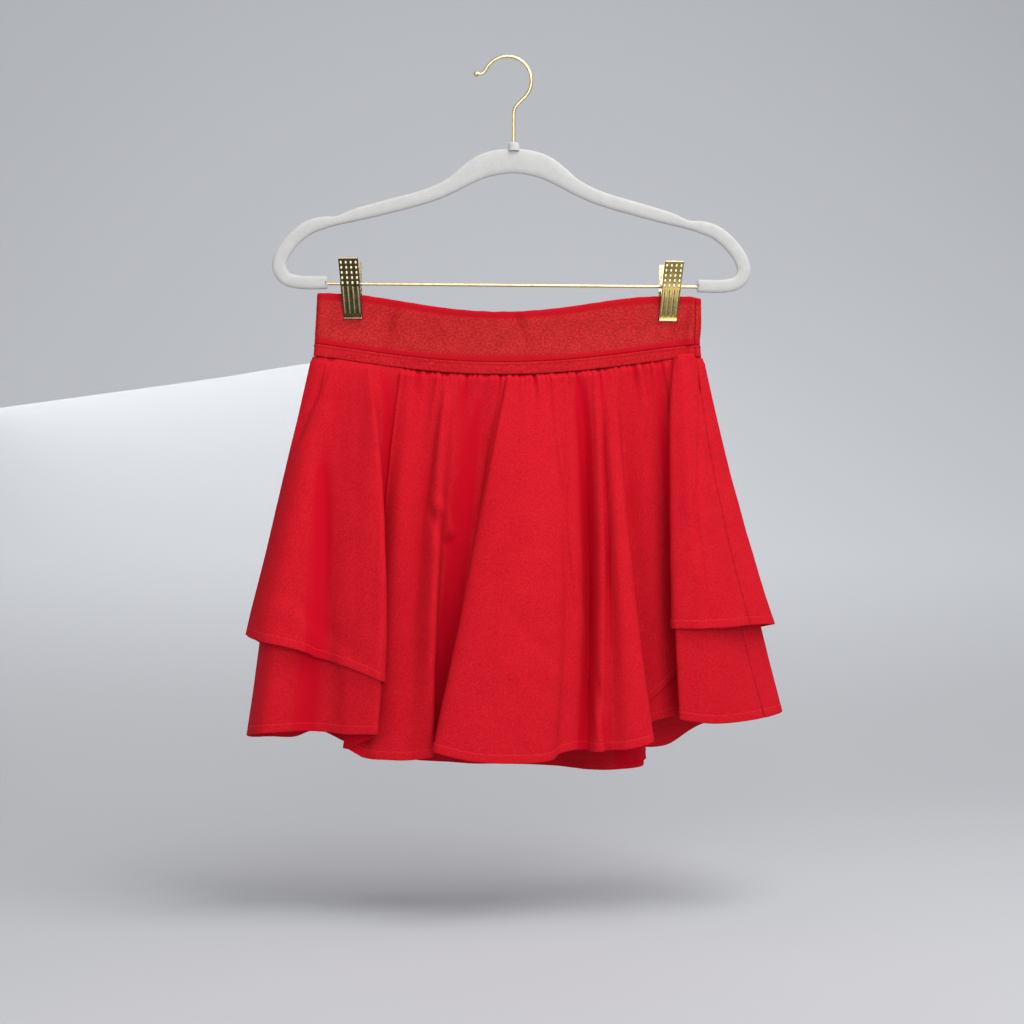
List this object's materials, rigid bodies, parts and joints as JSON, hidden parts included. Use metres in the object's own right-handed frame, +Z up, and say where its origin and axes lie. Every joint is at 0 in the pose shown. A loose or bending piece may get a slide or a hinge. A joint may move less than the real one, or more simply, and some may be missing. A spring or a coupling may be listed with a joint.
{
  "type": "athletic skirt on a clip hanger",
  "caption": "Layered athletic skirt with a wide elastic waistband, hanging in soft folds by spring clips from a slim flocked hanger with a metal hook and bar.",
  "frame": {"origin": "the point inside the top of the hook where a rail bears", "axes": "+X to the right along the hanger's bar, +Y away from the viewer, +Z up"},
  "size_m": [0.5017, 0.1367, 0.6694],
  "materials": {
    "red_cloth": "fine matt knit",
    "red_elastic": "satin heather elastic",
    "white_flock": "off-white flock",
    "gold_metal": "polished pale gold plating"
  },
  "bodies": {
    "root": {"waistband": "red_elastic", "waist_strip": "red_elastic", "base_front": "red_cloth", "base_back": "red_cloth", "overlay_front": "red_cloth", "overlay_back": "red_cloth", "hanger_body": "white_flock", "hook": "gold_metal", "clip_bar": "gold_metal", "clip_left_front_jaw": "gold_metal", "clip_left_back_jaw": "gold_metal", "clip_left_spring": "gold_metal", "clip_right_front_jaw": "gold_metal", "clip_right_back_jaw": "gold_metal", "clip_right_spring": "gold_metal"}
  },
  "joints": []
}
